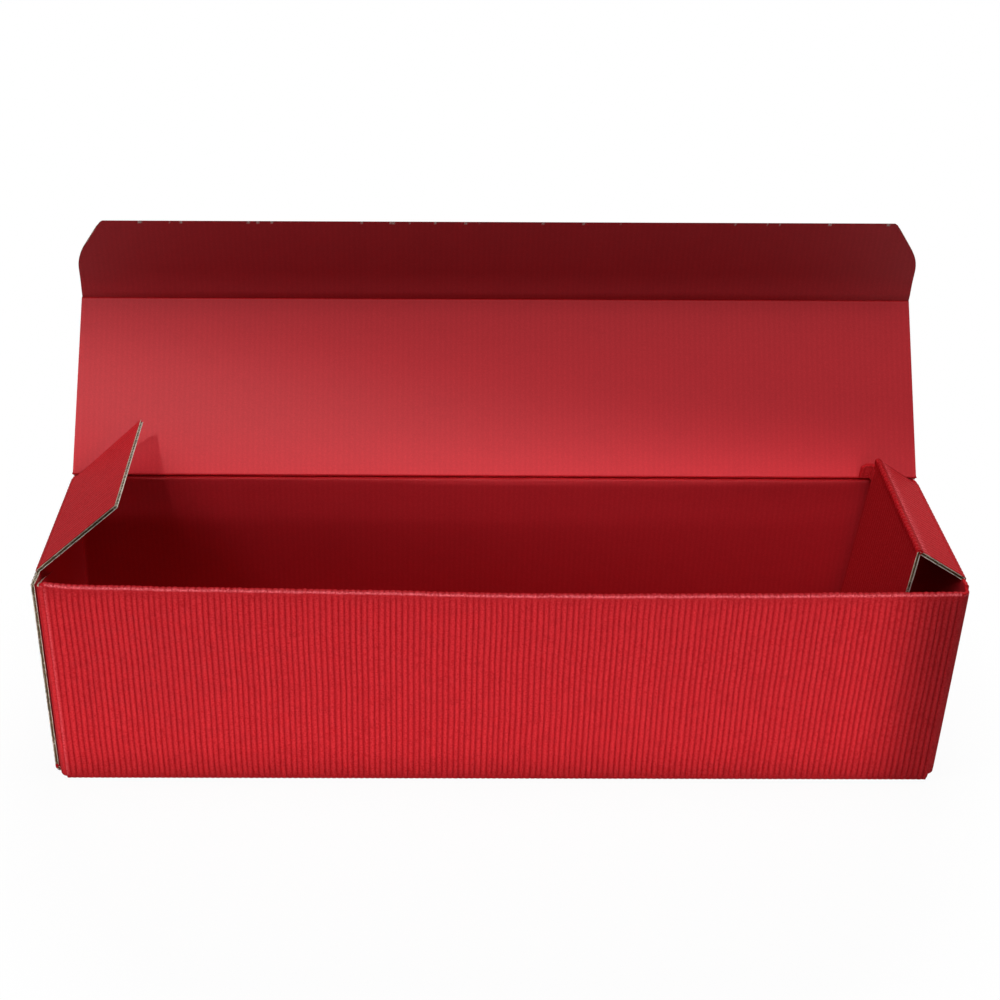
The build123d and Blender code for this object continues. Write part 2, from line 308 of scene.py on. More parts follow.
def make_mesh(name, verts, faces, slots, uv, marks):
    """Mesh object from arrays in millimetres. Points less than 1 / MERGE apart are merged, and
    collapsed faces are left out."""
    key = np.round(verts * MERGE).astype(np.int64)
    _, first, same = np.unique(key, axis=0, return_index=True, return_inverse=True)
    faces = same.reshape(-1)[faces]
    flat = (
        (faces[:, 0] == faces[:, 2]) | (faces[:, 1] == faces[:, 3])
        | ((faces[:, 0] == faces[:, 1]) & (faces[:, 2] == faces[:, 3]))
        | ((faces[:, 1] == faces[:, 2]) & (faces[:, 3] == faces[:, 0]))
    )
    faces, slots, uv = faces[~flat], slots[~flat], uv[~flat]
    used = np.zeros(len(first), bool)
    used[faces.reshape(-1)] = True
    faces = (np.cumsum(used) - 1)[faces]
    first = first[used]
    keep = faces != np.roll(faces, 1, axis=1)
    sizes = keep.sum(1)
    mesh = bpy.data.meshes.new(name)
    mesh.vertices.add(len(first))
    mesh.vertices.foreach_set("co", (verts[first] * MM).reshape(-1))
    mesh.loops.add(int(sizes.sum()))
    mesh.loops.foreach_set("vertex_index", faces[keep].astype(np.int32))
    mesh.polygons.add(len(faces))
    starts = np.concatenate([[0], np.cumsum(sizes)[:-1]])
    mesh.polygons.foreach_set("loop_start", starts.astype(np.int32))
    mesh.polygons.foreach_set("loop_total", sizes.astype(np.int32))
    mesh.polygons.foreach_set("material_index", slots.astype(np.int32))
    mesh.polygons.foreach_set("use_smooth", np.ones(len(faces), bool))
    mesh.uv_layers.new(name="Cut").data.foreach_set("uv", uv[keep].reshape(-1))
    for mark, values in marks.items():
        layer = mesh.attributes.new(mark, "FLOAT", "POINT")
        layer.data.foreach_set("value", values[first].astype(np.float32))
    mesh.update()
    mesh.validate()
    mesh.set_sharp_from_angle(angle=SHARP)
    for finish in (ribbed_liner, smooth_liner, cut_across, cut_along):
        mesh.materials.append(finish)
    return link(name, mesh)


# Materials


def srgb(code):
    """Linear colour, alpha 1, from an sRGB hex value."""
    parts = [int(code[k:k + 2], 16) / 255 for k in (1, 3, 5)]
    return tuple(p / 12.92 if p <= 0.04045 else ((p + 0.055) / 1.055) ** 2.4 for p in parts) + (1.0,)


def node(tree, kind, settings=None, **links):
    """Adds one shader node, sets its properties and sockets, and links what is given as a socket
    or as a node, whose first output is meant. i0, i1 and so on name an input by its place, other
    names by its label."""
    made = tree.nodes.new(kind)
    for name, value in (settings or {}).items():
        setattr(made, name, value)
    for name, value in links.items():
        numbered = name[0] == "i" and name[1:].isdigit()
        socket = made.inputs[int(name[1:]) if numbered else name.replace("_", " ")]
        if isinstance(value, bpy.types.Node):
            value = value.outputs[0]
        if isinstance(value, bpy.types.NodeSocket):
            tree.links.new(value, socket)
        else:
            socket.default_value = value
    return made


def new_material(name):
    """Empty material and its node tree."""
    made = bpy.data.materials.new(name)
    made.use_nodes = True
    made.node_tree.nodes.clear()
    return made, made.node_tree


def lay_tints(tree, colour, tints):
    """Lays colours over a colour, one after the other: each tint gives what it follows, where it
    starts, where it is full, how much of it there is then, and its hex value."""
    for source, low, high, most, code in tints:
        amount = node(
            tree, "ShaderNodeMapRange", Value=source, From_Min=low, From_Max=high, To_Max=most,
        )
        tint = srgb(code)
        mix = node(tree, "ShaderNodeMix", {"data_type": "RGBA"}, Factor=amount, i6=colour, i7=tint)
        colour = mix.outputs[2]
    return colour


def paper(name, valley, crest, rough, gloss, rub_highlight, lines):
    """Dyed kraft liner, uncoated: matt, mottled a few millimetres across where the dye soaked in
    unevenly, with fibre grain drawn about half a millimetre across, coarser than real, so that it
    shows. Each flute's valley is painted darker as shade and its crest lighter as a painted
    highlight. A crease or cut is pink to pale where dye is scuffed off, and along the front wall's
    fold and left corner that pale tint is also a painted highlight. lines is how strongly the
    smooth side shows the flutes behind it."""
    made, tree = new_material(name)
    place = node(tree, "ShaderNodeTexCoord").outputs["Object"]
    cloud = node(tree, "ShaderNodeTexNoise", Vector=place, Scale=150.0, Detail=4.0, Roughness=0.6)
    grain = node(tree, "ShaderNodeTexNoise", Vector=place, Scale=1500.0, Detail=2.0, Roughness=0.7)
    height = node(tree, "ShaderNodeAttribute", {"attribute_name": "Crest"}).outputs["Fac"]
    # The first tint is painted flute shade: valley colour as painted shade, crest colour as a painted
    # highlight
    tints = [
        (height, 0.0, 1.0, 1.0, crest), (cloud, 0.5, 0.72, 0.32, valley),
        (grain, 0.5, 0.75, 0.7, crest), (grain, 0.5, 0.25, 0.65, valley),
    ]
    if lines:
        across = node(tree, "ShaderNodeSeparateXYZ", Vector=place)
        around = 2 * pi / (FLUTE_PITCH * MM)
        turn = node(tree, "ShaderNodeMath", {"operation": "MULTIPLY"}, i0=across, i1=around)
        swing = node(tree, "ShaderNodeMath", {"operation": "COSINE"}, i0=turn)
        tints.append((swing, -1.0, 1.0, lines, valley))
    # Pale tint of scuffed-off dye, which is also a painted highlight along the front wall's fold and
    # left corner
    rub_and_highlight = node(tree, "ShaderNodeAttribute", {"attribute_name": "RubAndHighlight"}).outputs["Fac"]
    grain_patches = node(tree, "ShaderNodeMapRange", Value=grain, From_Min=0.3, From_Max=0.6)
    amount = node(tree, "ShaderNodeMath", {"operation": "MULTIPLY"}, i0=rub_and_highlight, i1=grain_patches)
    tints.append((amount, 0.0, 1.0, 1.0, rub_highlight))
    colour = lay_tints(tree, srgb(valley), tints)
    bump = node(tree, "ShaderNodeBump", Strength=0.3, Distance=0.00012, Height=grain)
    shader = node(
        tree, "ShaderNodeBsdfPrincipled", Base_Color=colour, Roughness=rough, IOR=1.45,
        Specular_IOR_Level=gloss, Normal=bump,
    )
    node(tree, "ShaderNodeOutputMaterial", Surface=shader)
    return made


# Layers of the board on a cut edge, from the inner skin to the crests, as shares of its thickness.
# The near-black and dark brown stops are painted shade in the hollows between the papers
CUT_LAYERS = [
    (0.0, "#B04A44"), (0.03, "#F0EADC"), (0.1, "#F4EFE4"), (0.14, "#2E2417"), (0.35, "#6E5536"),
    (0.56, "#3A2A1A"), (0.6, "#F0EADC"), (0.71, "#D8CCB4"), (0.76, "#4A2F22"), (0.9, "#94584A"),
    (1.0, "#B4362F"),
]
WAVE_MIDDLE, WAVE_SWING = 0.72, 0.42


def cut_board(name, waves):
    """Cut edge of the board: thin pale lines of torn paper, olive brown kraft with dark painted
    shade in the hollows between them, and reddish fluting outside. Where the cut crosses the
    flutes, the core's own wave shows: a pale line whose height is WAVE_MIDDLE plus WAVE_SWING
    times the sine of the way along it."""
    made, tree = new_material(name)
    place = node(tree, "ShaderNodeTexCoord").outputs["Object"]
    cut = node(tree, "ShaderNodeUVMap", {"uv_map": "Cut"})
    split = node(tree, "ShaderNodeSeparateXYZ", Vector=cut)
    along, level = split.outputs["X"], split.outputs["Y"]
    share = node(tree, "ShaderNodeMapRange", Value=level, From_Max=CORE + FLUTE_HEIGHT)
    ramp = node(tree, "ShaderNodeValToRGB", Fac=share)
    stops = ramp.color_ramp.elements
    stops[0].color, stops[1].color = srgb(CUT_LAYERS[0][1]), srgb(CUT_LAYERS[-1][1])
    for position, code in CUT_LAYERS[1:-1]:
        stops.new(position).color = srgb(code)
    torn = node(tree, "ShaderNodeTexNoise", Vector=place, Scale=520.0, Detail=4.0, Roughness=0.75)
    tints = [(torn, 0.48, 0.66, 0.75, "#3C3226"), (torn, 0.42, 0.34, 0.8, "#E4DED2")]
    if waves:
        around = 2 * pi / FLUTE_PITCH
        turn = node(tree, "ShaderNodeMath", {"operation": "MULTIPLY"}, i0=along, i1=around)
        swing = node(tree, "ShaderNodeMath", {"operation": "SINE"}, i0=turn)
        line = node(
            tree, "ShaderNodeMath", {"operation": "MULTIPLY_ADD"},
            i0=swing, i1=WAVE_SWING, i2=WAVE_MIDDLE,
        )
        off = node(tree, "ShaderNodeMath", {"operation": "SUBTRACT"}, i0=level, i1=line)
        off = node(tree, "ShaderNodeMath", {"operation": "ABSOLUTE"}, i0=off)
        tints.insert(0, (off, 0.28, 0.12, 1.0, "#C4BBA8"))
    colour = lay_tints(tree, ramp.outputs["Color"], tints)
    bump = node(tree, "ShaderNodeBump", Strength=0.5, Distance=0.0003, Height=torn)
    shader = node(
        tree, "ShaderNodeBsdfPrincipled", Base_Color=colour, Roughness=0.85, Specular_IOR_Level=0.2,
        Normal=bump,
    )
    node(tree, "ShaderNodeOutputMaterial", Surface=shader)
    return made


ribbed_liner = paper("dyed_kraft_open_flute", "#980810", "#CE242B", 0.6, 0.06, "#F0757E", 0.0)
smooth_liner = paper("dyed_kraft_smooth_liner", "#B31C25", "#CC2A33", 0.5, 0.32, "#E8DCD4", 0.32)
cut_across = cut_board("cut_board_across_flutes", True)
cut_along = cut_board("cut_board_along_flutes", False)


# Walls


def arch(x):
    """Nothing at the front wall's ends and 1 at mid length: the sine of half a turn over its
    length, to the power 0.9."""
    return np.sin(pi * np.clip((x - straight_left) / (straight_right - straight_left), 0, 1)) ** 0.9


def bow(x, z):
    """Outward swell of the front wall. Its top swells by BOW times the arch, with a little more
    towards the right end and a little less at the left corner, and lower down the swell is in
    proportion to the height to the power 1.5. The foot stands out at the left and is drawn in at
    the right. All this is small enough for the tuck flap to hang outside the wall."""
    share = np.clip((x - straight_left) / (straight_right - straight_left), 0, 1)
    height = np.clip(z / FRONT_HEIGHT, 0, 1)
    top = BOW * arch(x) + 0.5 * fade(share, 0.5, 1) - 0.4 * (1 - fade(x, straight_left, -176))
    foot = (1.3 - 1.8 * share) * (1 - fade(z, 0, 55))
    return top * height ** 1.5 + foot


def fold_rise(x):
    """How far the fold stands above its height at x: 0.5 up, more so at the left corner and
    1.25 less from mid length on, and slack between the ends by FOLD_SLACK times the arch."""
    corner = 0.5 * (1 - fade(x, straight_left, -172)) + 0.3 * (1 - fade(x, straight_left, -180))
    return -FOLD_SLACK * arch(x) + corner + 0.5 - 1.25 * fade(x, -75, 25)


def lean(x, y):
    """How far an end wall's top leans in at y, along X: in proportion to the way back, from
    nothing at the front to all of it at the rear corner."""
    share = np.clip((y + HALF_DEPTH) / (2 * HALF_DEPTH), 0, 1)
    return np.where(x < 0, LEFT_LEAN, -RIGHT_LEAN) * share


def face_weight(y):
    """1 on the front wall's own face, 0 behind it."""
    return fade(-y, -front_mid - 3.2, -front_mid - 0.4)


def front_wall():
    """The front wall and its hem as one sheet: up the front, over the fold and down inside.
    The path across the board is straight, a half turn of radius HALF, and straight again."""
    x = columns(straight_left, straight_right)
    up = np.concatenate([
        front_foot + np.array([0, 1, 2.4]), [9, 22, 36, 50, 64, 78, 90, 94.6, 95.8, 96.8, 97.8],
    ])
    turn = np.linspace(0, pi, 9)
    down = np.array([97.8, 96.6, 92, 70, 40, 10, floor_top + FOOT_PLAY])
    fold_mid = (front_mid + hem_mid) / 2
    y = np.concatenate([
        np.full(len(up), front_mid), fold_mid - HALF * np.cos(turn), np.full(len(down), hem_mid),
    ])
    z = np.concatenate([up, fold_z + HALF * np.sin(turn), down])
    ny = np.concatenate([np.full(len(up), -1.0), -np.cos(turn), np.full(len(down), 1.0)])
    nz = np.concatenate([np.zeros(len(up)), np.sin(turn), np.zeros(len(down))])
    flat = np.zeros((len(z), len(x)))
    u = x + flat
    level = z[:, None] + flat
    uneven = fold_rise(u) + 0.12 * wobble(u, 9.0, 3) + 0.15 * wobble(u, 60.0, 4)
    level = level + uneven * fade(level, 60, 97)
    stray = drift(u, level, straight_left, straight_right, 5)
    mid = np.stack([u + stray, y[:, None] - bow(u, level), level], -1)
    normal = np.stack([flat, ny[:, None] + flat, nz[:, None] + flat], -1)

    # Flutes pressed at the fold, the foot and the two corners
    step = np.arange(len(z))[:, None] + flat
    outside, over = step < len(up), (step >= len(up)) & (step < len(up) + len(turn))
    low, high = np.where(outside, 95.4, 92), np.where(outside, 97.6, 96.6)
    pressed = 1 - 0.55 * fade(z[:, None], low, high)
    pressed = np.where(over, 0.3 + 0.4 * fade(nz, 0.5, 0.95)[:, None], pressed)
    pressed = pressed * (0.3 + 0.7 * fade(z, front_foot + 0.3, front_foot + 2.4)[:, None])
    pressed = pressed * (0.4 + 0.6 * fade(u, straight_left - 0.5, straight_left + 3))
    pressed = pressed * (0.4 + 0.6 * fade(straight_right - u, -0.5, 2))

    # Pink line along the fold and down the left corner, partly scuffed-off dye and partly a painted
    # highlight; painted shade darkens the fold's top behind the line
    wave = flute(u)
    line = np.where(step == len(up) + 2, 1.0, 0.3 * (step == len(up) + 3))
    rub_and_highlight = np.maximum(line * (0.85 + 0.3 * wobble(u, 3.0, 8)), 0.02 + 0.05 * wave)
    rub_and_highlight = np.maximum(rub_and_highlight, 0.4 * (1 - fade(u, straight_left + 0.2, straight_left + 1.5)) * outside)
    # Painted shade on the fold's top behind the line
    painted_shade = 0.4 * (step > len(up) + 2) * (z > 96)[:, None]
    return sheet("front_wall", mid, normal, wave, pressed, (FOLD, FOLD, ACROSS, FOLD), rub_and_highlight=rub_and_highlight, painted_shade=painted_shade)


def plan_path(points, radius):
    """Path in plan through points with rounded corners. Returns its length, the lengths at which
    it turns, and a function from length run to place and outward normal. The board's outside is
    on the right of the way the path goes."""
    points = np.asarray(points, float)
    places, headings, corners, done = [], [], [], 0.0
    for k in range(len(points) - 1):
        way = points[k + 1] - points[k]
        span = np.linalg.norm(way)
        way = way / span
        start, stop = (radius if k else 0.0), span - (radius if k < len(points) - 2 else 0.0)
        places.append(points[k] + np.array([[start], [stop]]) * way)
        headings.append(np.stack([way, way]))
        done += stop - start
        if k < len(points) - 2:
            onward = unit(points[k + 2] - points[k + 1])
            left = np.array([-way[1], way[0]])
            side = 1.0 if np.dot(onward, left) > 0 else -1.0
            centre = points[k + 1] - way * radius + side * left * radius
            turn = np.linspace(0, pi / 2, 14)[1:-1, None]
            places.append(centre + radius * (way * np.sin(turn) - side * left * np.cos(turn)))
            headings.append(way * np.cos(turn) + side * left * np.sin(turn))
            corners.append(done + radius * pi / 4)
            done += radius * pi / 2
    places, headings = np.concatenate(places), np.concatenate(headings)
    known = np.concatenate([[0], np.cumsum(np.linalg.norm(np.diff(places, axis=0), axis=1))])

    def at(run):
        place = np.stack([np.interp(run, known, places[:, k]) for k in (0, 1)], -1)
        heading = unit(np.stack([np.interp(run, known, headings[:, k]) for k in (0, 1)], -1))
        return place, np.stack([heading[..., 1], -heading[..., 0]], -1)

    return known[-1], np.array(corners), at


# Rows of a wall, as shares of its height: closer together at the foot and the top
WALL_STEPS = np.array([
    0, 0.012, 0.03, 0.08, 0.2, 0.35, 0.5, 0.65, 0.8, 0.9, 0.94, 0.96, 0.975, 0.99, 1.0,
])


def wall_sheet(
    name, path, foot_line, top_line, edges, pressed_top, seed, shift, bent=0.35, slant=0.0, end=1.0,
):
    """Upright board along a plan path: rows climb from a foot line to a top line, both functions
    of place, and shift says how far the board strays sideways. The flutes stand upright, pressed
    flat near the top, down to bent round the corners and to end at the far end. slant is how far
    the outer skin stops below the top."""
    length, corners, at = path
    run = columns(0.0, length)
    plan = at(run)[0].T
    top, foot, kinds = top_line(*plan), foot_line(*plan), edges[2](*plan)
    z = foot + WALL_STEPS[:, None] * (top - foot)
    flat = np.zeros(z.shape)
    place, outward = at(np.clip(run + drift(run + flat, z, 0.0, length, seed), 0, length))
    place = place + shift(place[..., 0], place[..., 1], z)
    grid = np.concatenate([place, z[..., None]], -1)
    normal = np.concatenate([outward, flat[..., None]], -1)
    pressed = 1 - pressed_top(*plan) * (1 - fade(top - z, 0.6, 3.6))
    pressed = pressed * (0.3 + 0.7 * fade(z, foot, foot + 3.5))
    near = np.min(np.abs(run[:, None] - corners), axis=1)
    pressed = pressed * (bent + (1 - bent) * fade(near, 1.8, 4.0))
    pressed = pressed * (end + (1 - end) * fade(length - run, 0.2, 4.0))
    wave = flute(run, seed) + flat
    top_row = (WALL_STEPS == 1.0)[:, None]
    rub_and_highlight = np.where(top_row & (kinds == FOLD), 0.6, 0.02 + 0.05 * wave)
    skew = -slant * (top_row & (kinds != FOLD))[..., None] * UP
    edges = edges[:2] + (kinds,) + edges[3:]
    return sheet(name, grid, normal, wave, pressed, edges, rub_and_highlight=rub_and_highlight, skew=skew)


def end_walls():
    """Right end wall, back wall and left end wall: one strip of the sheet, from the front right
    corner round to the left end wall's cut front edge. The tops under the creases are lower than
    the shoulders between them."""
    path = plan_path([
        (straight_right, front_mid), (end_mid, front_mid), (end_mid, back_mid), (-end_mid, back_mid),
        (-end_mid, wall_end),
    ], WALL_BEND)
    end_crease = right_axis[2] - HALF - GAP - HALF
    lid_crease = lid_axis[2] - HALF - GAP - HALF

    def creased(x, y):
        on_back = (y > back_mid - 0.4) & (x > LID_LEFT - GAP) & (x < LID_RIGHT + GAP)
        on_right = (x > 0) & (y > FLAP_FRONT - GAP) & (y < right_back + GAP)
        on_left = (x < 0) & (y > LEFT_FRONT - GAP) & (y < left_back + GAP)
        return on_back, on_right | on_left

    def top_line(x, y):
        on_back, on_end = creased(x, y)
        corner = (x > 0) & (y < front_mid + 3.4)
        level = SHOULDER_TOP - 0.15 + 0.2 * wobble(x + y, 5.0, 11)
        level = level + 0.5 * fade(y, left_back - 2.5, left_back)
        level = np.where(corner, FRONT_HEIGHT - 0.15 + fold_rise(straight_right), level)
        drop = np.where(x < 0, 0.25 + 1.25 * np.abs(lean(x, y)), 0.8 * np.abs(lean(x, y)))
        return np.where(on_back, lid_crease, np.where(on_end, end_crease - drop, level))

    def foot_line(x, y):
        rear_corner = (y > floor_flap_back) & ((x < straight_left) | (x > straight_right))
        return np.where(rear_corner, floor_top + REAR_CORNER_FOOT, wall_foot - FOOT_PLAY)

    def pressed_top(x, y):
        on_back, on_end = creased(x, y)
        return np.where(on_back | on_end, 0.75, 0.3)

    def kinds(x, y):
        on_back, on_end = creased(x, y)
        corner = (x > 0) & (y < FLAP_FRONT)
        return np.where(on_back | on_end | corner | (y > left_back), FOLD, ACROSS)

    def shift(x, y, z):
        near_end = fade(np.abs(x), HALF_LENGTH - 30, HALF_LENGTH - 1)
        inward = lean(x, y) * near_end * np.clip(z / FRONT_HEIGHT, 0, 1)
        flare = END_FLARE * (x < 0) * (1 - fade(y, wall_end, wall_end + 5))
        return np.stack([inward - flare, -bow(x, z) * face_weight(y) * (x > 0)], -1)

    return wall_sheet(
        "end_and_back_walls", path, foot_line, top_line, (FOLD, ALONG, kinds, FOLD), pressed_top, 12,
        shift, end=0.0,
    )


def glue_flap():
    """Glue flap: the front wall's left end turned through the corner and stuck inside the end wall.
    Its top slopes down to the rear, where it stands off the wall a little, and its far edge is cut."""
    path = plan_path([
        (glue_mid, -HALF_DEPTH + GLUE_LENGTH), (glue_mid, front_mid), (straight_left, front_mid),
    ], WALL_BEND)

    def foot_line(x, y):
        return front_foot + 0 * x

    def top_line(x, y):
        depth = y + HALF_DEPTH
        level = FRONT_HEIGHT + 1.0 - np.clip(depth - 2.5, 0, 20) * tan(GLUE_SLOPE)
        level = level - np.clip(depth - 22.5, 0, 3) * 1.5 + 0.15 * wobble(y, 4.0, 13)
        return np.where(depth < 2.4, FRONT_HEIGHT + 0.7, level)

    def pressed_top(x, y):
        return np.where(y < front_mid + 0.5, 0.7, 0.2)

    def kinds(x, y):
        return np.where(y < front_mid + 0.7, FOLD, ACROSS)

    def shift(x, y, z):
        loose = GLUE_STAND_OFF * fade(y, front_mid + 7, front_mid + 23) * fade(z, 45, FRONT_HEIGHT)
        return np.stack([loose, -bow(x, z) * face_weight(y)], -1)

    return wall_sheet(
        "glue_flap", path, foot_line, top_line, (FOLD, FOLD, kinds, ALONG), pressed_top, 14, shift,
        bent=0.8, slant=1.3,
    )


def floor_panel():
    """Floor: down round the tight front bend, along the underside and up round the back bend,
    each a quarter turn. Beside the front bend it hangs a little lower."""
    x = columns(straight_left, straight_right)
    turn = np.linspace(0, pi / 2, 7)
    low_y, high_y = front_mid + FRONT_FOOT_BEND, back_mid - FLOOR_BEND
    front_z, back_z = floor_mid + FRONT_FOOT_BEND, floor_mid + FLOOR_BEND
    level = np.array([low_y + 1.5, low_y + 4, -20, 0, 20, high_y - 4, high_y - 1.5])
    y = np.concatenate([
        [front_mid], low_y - FRONT_FOOT_BEND * np.cos(turn), level,
        high_y + FLOOR_BEND * np.sin(turn), [back_mid],
    ])
    z = np.concatenate([
        [front_foot], front_z - FRONT_FOOT_BEND * np.sin(turn), np.full(len(level), floor_mid),
        back_z - FLOOR_BEND * np.cos(turn), [wall_foot],
    ])
    ny = np.concatenate([[-1], -np.cos(turn), np.zeros(len(level)), np.sin(turn), [1]])
    nz = np.concatenate([[0], -np.sin(turn), np.full(len(level), -1.0), -np.cos(turn), [0]])
    flat = np.zeros((len(y), len(x)))
    u = x + flat
    front = fade(-y, 30, 42)[:, None]
    low = FLOOR_SAG * fade(-y, 40.5, 42.6) * fade(-nz, 0.1, 0.8)
    mid = np.stack([u, y[:, None] - bow(u, z[:, None] + flat) * front, (z - low)[:, None] + flat], -1)
    normal = np.stack([flat, ny[:, None] + flat, nz[:, None] + flat], -1)
    pressed = 0.28 + 0.72 * fade(-nz, 0.8, 1.0) * fade(HALF_DEPTH - np.abs(y), 3, 6)
    edges = (FOLD, ALONG, FOLD, ALONG)
    return sheet("floor_panel", mid, normal, flute(u), pressed[:, None], edges, rub_and_highlight=0.03)


def floor_flap(name, side):
    """Floor flap of an end wall, bent in on top of the floor by a quarter turn of radius
    FLOOR_BEND; the bend shows at the wall's foot. side is -1 at the left and 1 at the right."""
    y = columns(front_mid + 4 if side > 0 else wall_end, floor_flap_back)
    turn = np.linspace(0, pi / 2, 7)
    flap_mid = floor_top + HALF
    x = np.concatenate([
        [end_mid], end_mid - FLOOR_BEND + FLOOR_BEND * np.cos(turn),
        end_mid - np.array([4, 20, FLOOR_FLAP_LENGTH]),
    ])
    z = np.concatenate([
        [wall_foot], flap_mid + FLOOR_BEND - FLOOR_BEND * np.sin(turn), np.full(3, flap_mid),
    ])
    nx = np.concatenate([[1.0], np.cos(turn), np.zeros(3)])
    nz = np.concatenate([[0.0], -np.sin(turn), np.full(3, -1.0)])
    flat = np.zeros((len(x), len(y)))
    z = z + FLOOR_FLAP_PLAY
    mid = np.stack([side * x[:, None] + flat, y + flat, z[:, None] + flat], -1)
    normal = np.stack([side * nx[:, None] + flat, flat, nz[:, None] + flat], -1)
    pressed = 0.3 * (nx[:, None] > 0.3)
    return sheet(name, mid, normal, flute(y), pressed, (FOLD, ALONG, ACROSS, ALONG), rub_and_highlight=0.03)


# Flaps


def flap(
    name, axis, way, across, start, end, length, out, near, far, edges, seed, outline=None, extra=(),
    rub_far=0.0, nicks=0, bevel=0.0, leaning=False, relief=1.0, curl=0.0, shade=0.0,
):
    """Flat board flap: columns run along its crease at axis and rows away from it along way, as
    far as length, so a point is axis + u * across + v * way. near and far say how hard the flutes
    are pressed beside the crease and at the far edge, and relief how high they are elsewhere.
    outline gives the two ends at each row and extra has more rows. curl is how far the flap
    bends out beyond its crease, and a leaning flap follows its end wall's top. rub_far is dye
    scuffed off near the far edge, nicks how many bits of dyed paper have come off the inner skin
    there, bevel how far the outer skin stops short of it, and shade how much painted shade
    darkens all the crests. Painted shade also darkens the crests in a line along both ends."""
    u = columns(start, end)
    v = np.concatenate([
        [0, 0.6, 1.2, 1.9, 2.6, 3.4, 4.2], np.linspace(0.12, 0.9, 8) * length,
        length - np.array([3.4, 2.4, 1.6, 0.9, 0.4, 0]), extra,
    ])
    v = np.unique(np.round(np.clip(v, 0, length), 4))
    grid_u, grid_v = np.meshgrid(u, v)
    wave = flute(grid_u, seed)
    placed = grid_u + drift(grid_u, grid_v, start, end, seed)
    if outline is not None:
        low, high = outline(grid_v)
        placed = np.clip(placed, low, high)
    mid = axis + placed[..., None] * across + grid_v[..., None] * way
    mid = mid + curl * fade(grid_v, 1.5, 10.0)[..., None] * out
    if leaning:
        mid[..., 0] += lean(axis[0], placed) * (1 - grid_v / length)
    normal = np.broadcast_to(out, mid.shape)
    pressed = 1 - near * (1 - fade(grid_v, 0.8, 4.0))
    pressed = relief * pressed * (1 - far * (1 - fade(length - grid_v, 0.4, 3.6)))
    # Painted shade: shade darkens all crests, and a line of it darkens them along both ends
    painted_shade = shade + 0.5 * (1 - fade(np.minimum(grid_u - start, end - grid_u), 0.3, 1.4))
    patchy = fade(wobble(grid_u + 3 * grid_v, 2.2, seed), -0.2, 0.5)
    rub_and_highlight = 0.02 + 0.05 * wave + rub_far * (1 - fade(length - grid_v, 0.6, 6.0)) * patchy
    torn = np.zeros(grid_u.shape)
    if nicks:
        spots = np.random.default_rng(seed).uniform(start + 12, end - 12, nicks)
        width = np.random.default_rng(seed + 1).uniform(0.3, 1.0, nicks)
        near_spot = np.max(width - np.abs(grid_u[..., None] - spots), axis=-1)
        torn = fade(near_spot, 0.0, 0.25) * (grid_v > length - 0.95)
    short = bevel * np.clip((grid_v - length + 5) / 5, 0, 1) ** 2
    skew = -short[..., None] * way
    return sheet(name, mid, normal, wave, pressed, edges, rub_and_highlight=rub_and_highlight, torn=torn, skew=skew, painted_shade=painted_shade)


def outward_of(way, across):
    """Unit vector square to a flap that leads along way; across is chosen so that it points to
    the fluted side."""
    return np.cross(across, way)


def lid_outline(v):
    """Ends of the lid at v from its hinge: straight lines that draw in a little towards the tuck
    flap."""
    share = v / lid_length
    return LID_LEFT + LID_LEFT_TAPER * share, LID_RIGHT - LID_RIGHT_TAPER * share


def tuck_outline(v):
    """Ends of the tuck flap at v from its crease: straight, then a shoulder of radius TUCK_SHOULDER
    into a straight slant, and a small round where the slant meets the free edge."""
    slope = TUCK_SLANT / (TUCK_LENGTH - TUCK_STRAIGHT)
    angle = atan2(slope, 1)
    reach = TUCK_SHOULDER * tan(angle / 2)
    beyond = v - TUCK_STRAIGHT
    arc = TUCK_SHOULDER - np.sqrt(np.maximum(TUCK_SHOULDER ** 2 - (beyond + reach) ** 2, 0))
    inset = np.where(beyond < reach * cos(angle), arc, beyond * slope)
    inset = np.where(beyond < -reach, 0, inset)
    inset = inset + 0.8 * np.clip((v - TUCK_LENGTH + TUCK_TIP) / TUCK_TIP, 0, 1) ** 2
    return TUCK_LEFT + inset, TUCK_RIGHT + TUCK_SWELL * np.clip(v / TUCK_STRAIGHT, 0, 1) - inset


# How much of the flutes is left at each row of a strip
STRIP_TAPER = np.array([0.15, 0.6, 1, 1, 1, 1, 1, 1, 1, 0.6, 0.15])[:, None]


